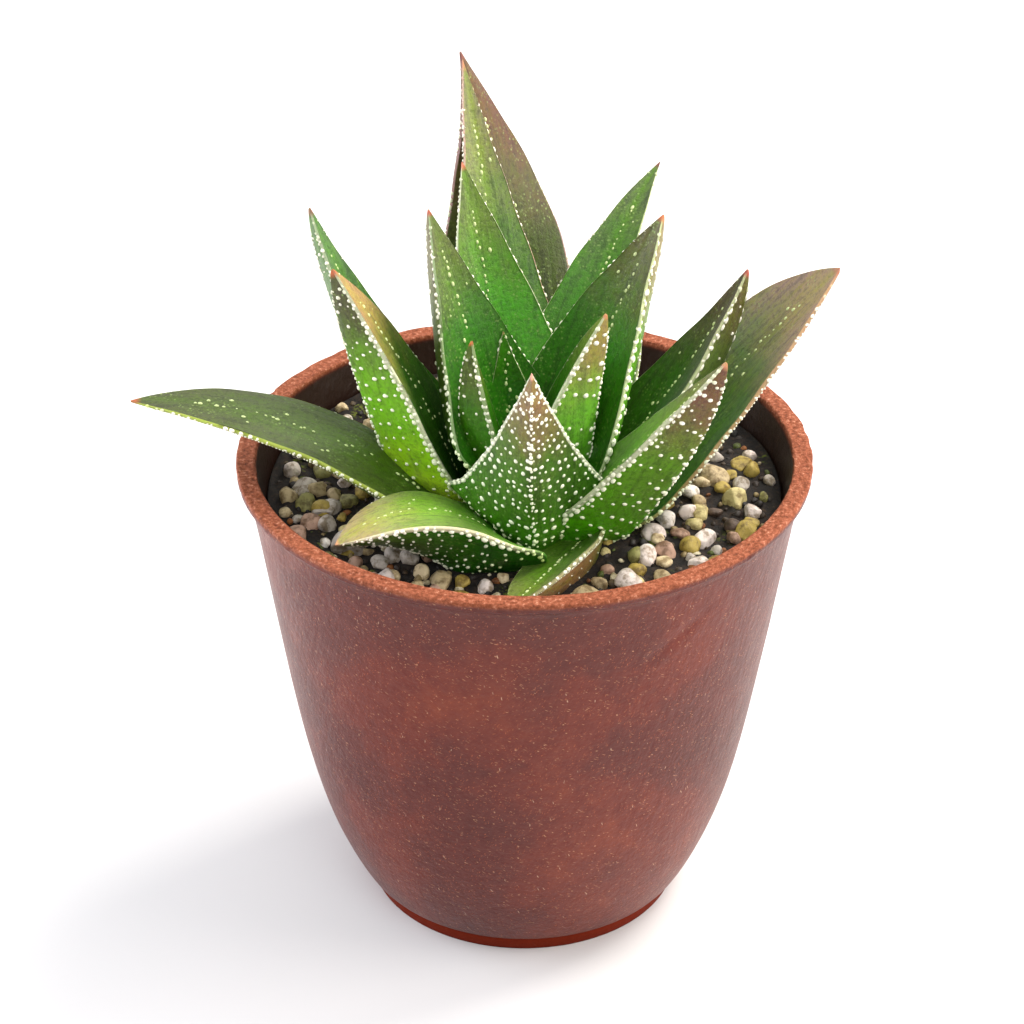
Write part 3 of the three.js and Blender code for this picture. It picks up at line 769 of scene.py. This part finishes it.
def make_pot():
    """The pot's profile turned round its axis. The rim is worn by up to 0.2 mm with pits of up to
    0.33 mm, the wall wavers by 0.1 mm to either side and a shallow crease lies under the rim at
    the front right. The patterns that follow its skin are read along radius times |turn - pi|,
    which leaves no seam at +X and makes those of the back half mirror those of the front half."""
    profile, inside = pot_profile()
    turn = 2 * math.pi * np.arange(POT_SIDES) / POT_SIDES
    radius = np.repeat(profile[:, :1], POT_SIDES, 1)
    height = np.repeat(profile[:, 1:], POT_SIDES, 1)
    within = np.repeat(inside[:, None], POT_SIDES, 1)
    arc = radius * np.abs(turn[None] - math.pi)
    on_rim = np.clip((height - (POT_HEIGHT - 1.6)) / 0.8, 0, 1)
    worn = lattice_noise(arc, height * 3 + radius * 2, 2.2, 3) * 0.2
    pits = np.clip(lattice_noise(arc, height + radius * 1.3, 0.75, 5) - 0.7, 0, 1) * 1.1
    wall = np.clip((height - 4) / 6, 0, 1) * np.clip((POT_HEIGHT - height) / 6, 0, 1)
    outer = 1 - within
    slow = (lattice_noise(arc, height, 17.0, 7) - 0.5) * 0.2
    past_crease = radius * (turn[None] - CREASE_TURN)
    crease_line = (height - CREASE_HEIGHT) - 0.55 * past_crease
    crease = np.exp(-(crease_line / 1.1) ** 2) * np.exp(-(past_crease / 4.5) ** 2)
    sunk = on_rim * (worn + pits)
    inward = outer * (sunk + wall * (CREASE_DEPTH * crease + 0.1 - slow))
    points = np.stack([
        (radius - inward) * np.cos(turn),
        (radius - inward) * np.sin(turn),
        height - sunk * (height > POT_HEIGHT - 0.5),
    ], -1)
    centre = np.array([[0, 0, 0], [0, 0, FLOOR]])
    place = np.concatenate([np.stack([arc, height], -1).reshape(-1, 2), [[0, 0], [0, 0]]])
    piece = new_piece("pot_fine", np.concatenate([points.reshape(-1, 3), centre]),
                      tube_faces(len(profile), POT_SIDES),
                      dict(inside=np.concatenate([within.ravel(), [0, 1]])), place)
    cut_drains(piece)
    piece.data.materials.append(clay_material())
    return piece


def cut_drains(piece):
    """Cuts the drain holes through the pot's floor."""
    for i in range(DRAIN_COUNT):
        turn = 2 * math.pi * (i + 0.5) / DRAIN_COUNT
        round_about = 2 * math.pi * np.arange(DRAIN_SIDES) / DRAIN_SIDES
        ring = np.stack([DRAIN_RADIUS * np.cos(round_about) + DRAIN_CIRCLE * math.cos(turn),
                         DRAIN_RADIUS * np.sin(round_about) + DRAIN_CIRCLE * math.sin(turn)], -1)
        low = np.concatenate([ring, np.full((DRAIN_SIDES, 1), -CUT_PAST)], 1)
        high = np.concatenate([ring, np.full((DRAIN_SIDES, 1), FLOOR + CUT_PAST)], 1)
        ends = np.array([[*ring.mean(0), -CUT_PAST], [*ring.mean(0), FLOOR + CUT_PAST]])
        cutter = new_piece(f"drain_{i}", np.concatenate([low, high, ends]), tube_faces(2, DRAIN_SIDES))
        cut = piece.modifiers.new("drain", "BOOLEAN")
        cut.operation = "DIFFERENCE"
        cut.object = cutter
        depsgraph = bpy.context.evaluated_depsgraph_get()
        mesh = bpy.data.meshes.new_from_object(piece.evaluated_get(depsgraph))
        piece.modifiers.clear()
        piece.data = mesh
        bpy.data.objects.remove(cutter)


def clay_material():
    """Moulded clay with plant fibre: satin where the mould pressed it, red-brown with short pale
    and orange fibres, and rough, sandy and more orange on the worn rim. The foot band is rough too,
    and painted a darker, more orange red as painted shade where it faces down and catches no
    sheen. The inside is painted near black, partly as soil stain and partly as painted shade."""
    material, tree, shader = new_material("moulded_fibre_clay", IOR=1.45)
    place = object_place(tree)
    uv = add_node(tree, "ShaderNodeUVMap", {"uv_map": "skin"}).outputs["UV"]
    body = ramp(tree, noise(tree, place, 0.035, 4.0, 0.6),
                [(0.3, "50201A"), (0.46, "5A241C"), (0.58, "68281A"), (0.74, "7A341C")])
    cloud = step_up(tree, noise(tree, place, 0.5, 6.0, 0.7), 0.3, 0.75, 0.6)
    body = blend(tree, cloud, body, srgb("8E5A48"), "SOFT_LIGHT")
    # bent fibres of about 0.8 mm by 0.2 mm that lie several ways, and rounder specks, as turn,
    # cells to the millimetre, colour and the level under which a cell stays bare
    bend = add_node(tree, "ShaderNodeTexNoise", Vector=uv, Scale=0.5, Detail=2.0).outputs["Color"]
    bent = add_node(tree, "ShaderNodeVectorMath", {"operation": "ADD"}, in_0=uv, in_1=bend).outputs[0]
    for turn, wide, code, share in ((0.5, 0.8, "C48C66", 0.6), (-0.9, 0.95, "B8623C", 0.5),
                                    (1.7, 0.6, "DCB898", 0.8), (2.6, 1.1, "A85634", 0.45),
                                    (0.0, 1.3, "C8946E", 0.7)):
        turned = add_node(tree, "ShaderNodeMapping", Vector=bent, Rotation=(0.0, 0.0, turn))
        drawn_out = add_node(tree, "ShaderNodeMapping", Vector=turned.outputs[0],
                             Scale=(wide, wide * (1.4 if turn == 0 else 4.0), 1.0))
        cells = add_node(tree, "ShaderNodeTexVoronoi", Vector=drawn_out.outputs[0], Scale=1.0)
        mark = calculate(tree, "SUBTRACT", 1.0, step_up(tree, cells.outputs["Distance"], 0.08, 0.26))
        mark = calculate(tree, "MULTIPLY", mark, step_up(tree, cells.outputs["Color"], share, share + 0.1))
        body = blend(tree, calculate(tree, "MULTIPLY", mark, 0.6), body, srgb(code))
    height = add_node(tree, "ShaderNodeSeparateXYZ", Vector=place).outputs["Z"]
    sand = noise(tree, place, 1.5, 6.0, 0.75)
    rim_tone = ramp(tree, sand, [(0.3, "3C1A0E"), (0.42, "74381C"), (0.55, "945034"), (0.7, "CC9478")])
    rim = step_up(tree, height, (POT_HEIGHT - 1.2) * MM, (POT_HEIGHT - 0.5) * MM)
    foot = calculate(tree, "SUBTRACT", 1.0, step_up(tree, height, 2.7 * MM, 3.2 * MM))
    # the foot band is painted darker and more saturated: painted shade where it faces down and catches no
    # sheen
    body = blend(tree, calculate(tree, "MULTIPLY", foot, 0.9), body, srgb("6A1E08"))
    # the inside of the pot is painted near black: partly soil stain, partly painted shade down in the well
    body = blend(tree, attribute(tree, "inside"), body, srgb("24130C"))
    colour = blend(tree, rim, body, rim_tone)
    tree.links.new(colour, shader.inputs["Base Color"])
    gloss = add_node(tree, "ShaderNodeMapRange", Value=noise(tree, place, 0.3, 4.0))
    gloss.inputs["To Min"].default_value = 0.3
    gloss.inputs["To Max"].default_value = 0.48
    rough = calculate(tree, "MAXIMUM", rim, foot)
    roughness = add_node(tree, "ShaderNodeMix", in_0=rough, in_2=gloss.outputs["Result"], in_3=0.75)
    tree.links.new(roughness.outputs[0], shader.inputs["Roughness"])
    # the foot band's gloss is turned down, so it shows no sheen where it faces down
    sheen = add_node(tree, "ShaderNodeMix", in_0=foot, in_2=0.36, in_3=0.08)
    tree.links.new(sheen.outputs[0], shader.inputs["Specular IOR Level"])
    # slanting strokes that the mould left
    slanted = add_node(tree, "ShaderNodeMapping", Vector=uv, Rotation=(0.0, 0.0, 0.5)).outputs[0]
    drawn_out = add_node(tree, "ShaderNodeMapping", Vector=slanted, Scale=(1.1, 0.16, 1.0)).outputs[0]
    strokes = add_node(tree, "ShaderNodeTexNoise", Vector=drawn_out, Scale=1.0, Detail=4.0)
    grain = calculate(tree, "ADD", noise(tree, place, 0.9, 5.0, 0.6), calculate(tree, "MULTIPLY", sand, rim))
    grain = calculate(tree, "ADD", grain, calculate(tree, "MULTIPLY", strokes.outputs["Fac"], 0.7))
    tree.links.new(bump(tree, grain, 0.22, 0.7), shader.inputs["Normal"])
    return material


# The soil

def soil_height(x, y):
    """The soil's level with slow waves: SOIL_WAVE times sin(0.23 x + 1) times cos(0.19 y)."""
    return SOIL_LEVEL + SOIL_WAVE * np.sin(0.23 * x + 1) * np.cos(0.19 * y)


def make_soil():
    """The bed that fills the pot: rings out to the wall, crumbled by up to 0.75 mm up and 0.7 mm
    down, then down the wall to the floor."""
    wall = pot_radius(SOIL_LEVEL) - WALL - GAP
    radii = np.linspace(0.6, wall, SOIL_RINGS)
    turn = 2 * math.pi * np.arange(SOIL_SIDES) / SOIL_SIDES
    x = radii[:, None] * np.cos(turn)
    y = radii[:, None] * np.sin(turn)
    crumb = (0.75 * lattice_noise(x, y, 2.3, 11) + 0.45 * lattice_noise(x, y, 0.9, 12)
             + 0.25 * lattice_noise(x, y, 0.45, 13)) - 0.7
    z = soil_height(x, y) + crumb * np.clip((wall - radii) / 0.8, 0, 1)[:, None]
    top = np.stack([x, y, z], -1)[::-1]
    heights = np.array([60, 40, 26, 12, FLOOR + GAP])
    out = pot_radius(heights) - WALL - GAP
    sides = np.stack([out[:, None] * np.cos(turn), out[:, None] * np.sin(turn),
                      np.repeat(heights[:, None], SOIL_SIDES, 1)], -1)
    rings = np.concatenate([sides[::-1], top])
    ends = np.array([[0, 0, FLOOR + GAP], [0, 0, SOIL_LEVEL - 0.2]])
    points = np.concatenate([rings.reshape(-1, 3), ends])
    piece = new_piece("soil_fine", points, tube_faces(len(rings), SOIL_SIDES))
    piece.data.materials.append(soil_material())
    return piece


def soil_material():
    """Moist potting soil: near black, with brown bark, a little moss and dust, and hardly any
    gloss."""
    material, tree, shader = new_material("moist_gritty_soil", Roughness=0.9)
    place = object_place(tree)
    grain = noise(tree, place, 0.9, 6.0, 0.75)
    colour = ramp(tree, grain, [(0.3, "080504"), (0.48, "140D09"), (0.6, "2A1D13"), (0.75, "54402A")])
    moss = step_up(tree, noise(tree, place, 0.12, 4.0), 0.58, 0.7, 0.8)
    moss = calculate(tree, "MULTIPLY", moss, step_up(tree, noise(tree, place, 1.4, 4.0), 0.5, 0.6))
    colour = blend(tree, moss, colour, srgb("6E7A1C"))
    tree.links.new(colour, shader.inputs["Base Color"])
    tree.links.new(bump(tree, grain, 0.5), shader.inputs["Normal"])
    return material


def ball(cuts):
    """A round ball's points and triangles: an icosahedron whose faces are cut in four, cuts
    times over."""
    golden = (1 + math.sqrt(5)) / 2
    points = np.array([(-1, golden, 0), (1, golden, 0), (-1, -golden, 0), (1, -golden, 0),
                       (0, -1, golden), (0, 1, golden), (0, -1, -golden), (0, 1, -golden),
                       (golden, 0, -1), (golden, 0, 1), (-golden, 0, -1), (-golden, 0, 1)])
    faces = np.array([(0, 11, 5), (0, 5, 1), (0, 1, 7), (0, 7, 10), (0, 10, 11), (1, 5, 9), (5, 11, 4),
                      (11, 10, 2), (10, 7, 6), (7, 1, 8), (3, 9, 4), (3, 4, 2), (3, 2, 6), (3, 6, 8),
                      (3, 8, 9), (4, 9, 5), (2, 4, 11), (6, 2, 10), (8, 6, 7), (9, 8, 1)])
    for _ in range(cuts):
        corners = points[faces]
        a, b, c = corners[:, 0], corners[:, 1], corners[:, 2]
        mids = ((a + b) / 2, (b + c) / 2, (c + a) / 2)
        quarters = [(a, mids[0], mids[2]), (mids[0], b, mids[1]), (mids[2], mids[1], c), mids]
        soup = np.concatenate([np.stack(quarter, 1) for quarter in quarters]).reshape(-1, 3)
        points, back = np.unique(np.round(soup, 6), axis=0, return_inverse=True)
        faces = back.reshape(-1, 3)
    return points / np.linalg.norm(points, axis=1, keepdims=True), faces


def spiral_spots(count, field, radius, spread, salt):
    """Spots on a sunflower spiral with a seeded jitter, as x, y and radius."""
    number = np.arange(count)
    size = radius + spread * scatter(number, salt)
    out = field * np.sqrt((number + 0.5) / count) + 2 * (scatter(number, salt + 1) - 0.5)
    jitter = 0.5 * (scatter(number, salt + 2) - 0.5) * (radius / out)
    turn = number * math.pi * (3 - math.sqrt(5)) + jitter
    return out * np.cos(turn), out * np.sin(turn), size


def leaf_samples():
    """Points all over the leaves, to keep stones clear of them."""
    share, across = np.meshgrid(np.linspace(0, 1, 31), np.linspace(-1, 1, 9), indexing="ij")
    parts = []
    for shape in LEAVES:
        line = leaf_line(shape, 60)
        for below in (0.0, 1.0):
            parts.append(skin(shape, line, share, across, np.full(share.shape, below)).reshape(-1, 3))
    return np.concatenate(parts)


def make_stones(name, x, y, size, clear, cuts, samples, seat, salt, material):
    """Worn broken stones, one mesh for them all, each with its own hue and clear of the leaves.
    A stone is a ball cut by STONE_PLANES planes at 0.55 to 0.92 of its radius. The distances to
    the ball and to all of them are blended as (sum of d^-22)^(-1/22), which rounds the arrises,
    and the stone is then pressed to unequal axes. Small ones lie in drifts, where a noise of 7 mm
    is high, and more of them far out and towards the front left. seat is how high a stone's
    middle lies over the soil, in its own radii, and salt is where its draws start."""
    centre = np.stack([x, y, soil_height(x, y) + seat * size], -1)
    gap = np.sqrt(((centre[:, None] - samples[None]) ** 2).sum(-1)).min(1)
    drift = lattice_noise(x, y, 7.0, salt + 12) + 0.006 * (x ** 2 + y ** 2) ** 0.5 - 0.004 * (x + y)
    keep = (gap > size + clear) & ((size > STONE_RADIUS) | (drift > 0.36))
    centre = centre[keep]
    size = size[keep]
    number = np.arange(len(x))[keep]
    shape, faces = ball(cuts)
    code = number[:, None] * STONE_PLANES + np.arange(STONE_PLANES)
    lean = 2 * scatter(code, salt + 9) - 1
    swing = 2 * math.pi * scatter(code, salt + 10)
    flat = np.sqrt(1 - lean ** 2)
    normal = np.stack([flat * np.cos(swing), flat * np.sin(swing), lean], -1)
    facing = np.maximum(np.einsum("spa,va->svp", normal, shape), 0.05)
    reach = (0.55 + 0.37 * scatter(code, salt + 11))[:, None] / facing
    worn = ((reach ** -ARRIS_POWER).sum(-1) + 1.0) ** (-1 / ARRIS_POWER)
    axes = np.stack([np.ones(len(number)), 0.75 + 0.3 * scatter(number, salt + 3),
                     0.65 + 0.3 * scatter(number, salt + 4)], -1) * size[:, None]
    local = shape[None] * worn[..., None] * axes[:, None]
    tilt = 0.6 * (scatter(number, salt + 7)[:, None] - 0.5)
    turn = 2 * math.pi * scatter(number, salt + 5)[:, None]
    lx = local[..., 0]
    ly = local[..., 1] * np.cos(tilt) - local[..., 2] * np.sin(tilt)
    lz = local[..., 1] * np.sin(tilt) + local[..., 2] * np.cos(tilt)
    placed = np.stack([lx * np.cos(turn) - ly * np.sin(turn), lx * np.sin(turn) + ly * np.cos(turn), lz], -1)
    points = placed + centre[:, None]
    starts = np.arange(len(number)) * len(shape)
    all_faces = (starts[:, None, None] + faces[None]).reshape(-1, 3)
    hue = np.repeat(scatter(number, salt + 8), len(shape))
    piece = new_piece(name, points.reshape(-1, 3), all_faces, dict(hue=hue))
    piece.data.materials.append(material)
    return piece


def stone_material(name, tones):
    """Washed mixed grit: matt limestone, quartz and pumice grains, each of one tone with dust and
    algae in its hollows."""
    material, tree, shader = new_material(name, Roughness=0.6)
    place = object_place(tree)
    tone = ramp(tree, attribute(tree, "hue"), tones, smooth=False)
    dust = step_up(tree, noise(tree, place, 0.7, 5.0, 0.65), 0.42, 0.66, 0.85)
    tone = blend(tree, dust, tone, srgb("8A7A58"), "MULTIPLY")
    tree.links.new(tone, shader.inputs["Base Color"])
    tree.links.new(bump(tree, noise(tree, place, 1.3, 5.0, 0.65), 0.3, 0.8), shader.inputs["Normal"])
    return material


STONE_TONES = [(0.0, "BFB5AA"), (0.14, "E8E0D6"), (0.22, "B8A47C"), (0.34, "D8C49C"), (0.44, "A89244"),
               (0.57, "8E8A50"), (0.65, "B4917C"), (0.74, "E2D4CC"), (0.84, "5E4C40"), (0.92, "CDBE84")]
GRIT_TONES = [(0.0, "1C140F"), (0.2, "2C2018"), (0.38, "40301F"), (0.5, "17110D"), (0.64, "5A4A34"),
              (0.74, "8C7A52"), (0.82, "4E5A1E"), (0.88, "8A5426"), (0.93, "CFC4A4")]


# The stem

def stem_material():
    """The stem under the leaves: pale, moist tissue with a soft gloss."""
    material, tree, shader = new_material("pale_stem_tissue", Roughness=0.55)
    place = object_place(tree)
    tone = ramp(tree, noise(tree, place, 0.6), [(0.3, "7A8A4A"), (0.7, "A8B070")])
    tree.links.new(tone, shader.inputs["Base Color"])
    tree.links.new(bump(tree, noise(tree, place, 1.2), 0.2, 0.6), shader.inputs["Normal"])
    return material


# Light, floor and camera

def floor_material():
    """Matt pale paper backdrop, with hardly any gloss or change of tone."""
    material, tree, shader = new_material("white_paper_floor", Roughness=0.9)
    tone = ramp(tree, noise(tree, object_place(tree), 0.01), [(0.2, "D4D4D4"), (0.8, "D6D6D6")])
    tree.links.new(tone, shader.inputs["Base Color"])
    return material


def make_floor():
    """A square floor three metres wide under the pot."""
    half = 1500.0
    corners = [(-half, -half, 0), (half, -half, 0), (half, half, 0), (-half, half, 0)]
    floor = new_piece("floor", corners, [(0, 1, 2, 3)])
    floor.data.materials.append(floor_material())


def add_light(name, place, target, size, watts, colour):
    """A square area light that faces its target."""
    lamp = bpy.data.lights.new(name, "AREA")
    lamp.size = size
    lamp.energy = watts
    lamp.color = srgb(colour)[:3]
    holder = bpy.data.objects.new(name, lamp)
    holder.location = place
    away = np.array(place) - np.array(target)
    flat = math.hypot(away[0], away[1])
    holder.rotation_euler = (math.atan2(flat, away[2]), 0, math.atan2(away[1], away[0]) + math.pi / 2)
    bpy.context.scene.collection.objects.link(holder)


def set_stage():
    """White surroundings, a soft key from the upper right and a little behind, a weaker fill from
    the front, a low glow from each side and a camera that looks down by 31 degrees on the front."""
    world = bpy.data.worlds.new("white_room")
    world.use_nodes = True
    tree = world.node_tree
    backdrop = tree.nodes["Background"]
    backdrop.inputs["Color"].default_value = srgb("FFFFFF")
    # bright above, behind and beside, dim towards the front where the room is dark
    place = add_node(tree, "ShaderNodeTexCoord").outputs["Generated"]
    towards = add_node(tree, "ShaderNodeSeparateXYZ", Vector=place)
    back = calculate(tree, "MULTIPLY", towards.outputs["Y"], 0.7)
    above = calculate(tree, "MULTIPLY", towards.outputs["Z"], 0.9)
    beside = calculate(tree, "MULTIPLY", calculate(tree, "ABSOLUTE", towards.outputs["X"]), 0.45)
    around = calculate(tree, "ADD", calculate(tree, "ADD", back, above), beside)
    glow = calculate(tree, "ADD", step_up(tree, around, -0.25, 0.65, 0.68), 0.24)
    tree.links.new(glow, backdrop.inputs["Strength"])
    scene = bpy.context.scene
    scene.world = world
    scene.view_settings.view_transform = "Standard"
    add_light("key", (0.5, 0.3, 0.8), (0, 0, 0.08), 0.5, 12.0, "FFFAF2")
    add_light("front_fill", (0.15, -0.85, 0.8), (0, 0, 0.08), 0.7, 5.0, "FFFFFF")
    add_light("left_glow", (-0.6, 0.1, 0.22), (0, 0, 0.05), 0.5, 4.8, "F2F4FF")
    add_light("right_glow", (0.7, -0.1, 0.3), (0, 0, 0.05), 0.4, 4.0, "FFF4EC")
    camera = bpy.data.cameras.new("camera")
    camera.lens = LENS
    camera.sensor_width = 36.0
    camera.clip_end = 10.0
    holder = bpy.data.objects.new("camera", camera)
    holder.location = CAMERA_PLACE
    holder.rotation_euler = (CAMERA_TILT, 0, 0)
    scene.collection.objects.link(holder)
    scene.camera = holder


def stand_for(piece, node):
    """Makes a piece ride on the root body in the place of a solid."""
    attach(piece, "root")
    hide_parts(node)


set_stage()
make_floor()
for index, (shape, style) in enumerate(zip(LEAVES, LOOKS)):
    stand_for(make_leaf(index, shape, style), f"leaf_{index + 1:02d}")
stand_for(make_pot(), "pot")
stand_for(make_soil(), "soil")
samples = leaf_samples()
washed_grit = stone_material("washed_grit", STONE_TONES)
stones = make_stones("stones", *spiral_spots(STONE_COUNT, STONE_FIELD, STONE_RADIUS, STONE_SPREAD, 1),
                     STONE_CLEAR, 3, samples, 0.15, 1, washed_grit)
pebbles = make_stones("pebbles", *spiral_spots(PEBBLE_COUNT, LOOSE_FIELD, PEBBLE_RADIUS, PEBBLE_SPREAD, 21),
                      PEBBLE_CLEAR, 2, samples, 0.25, 21, washed_grit)
crumbs = make_stones("crumbs", *spiral_spots(CRUMB_COUNT, LOOSE_FIELD, CRUMB_RADIUS, CRUMB_SPREAD, 41),
                     CRUMB_CLEAR, 1, samples, 0.1, 41, stone_material("bark_and_lava_crumbs", GRIT_TONES))
for piece in (stones, pebbles, crumbs):
    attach(piece, "root")
stem = bpy.data.objects["stem"]
stem.data.materials.clear()
stem.data.materials.append(stem_material())
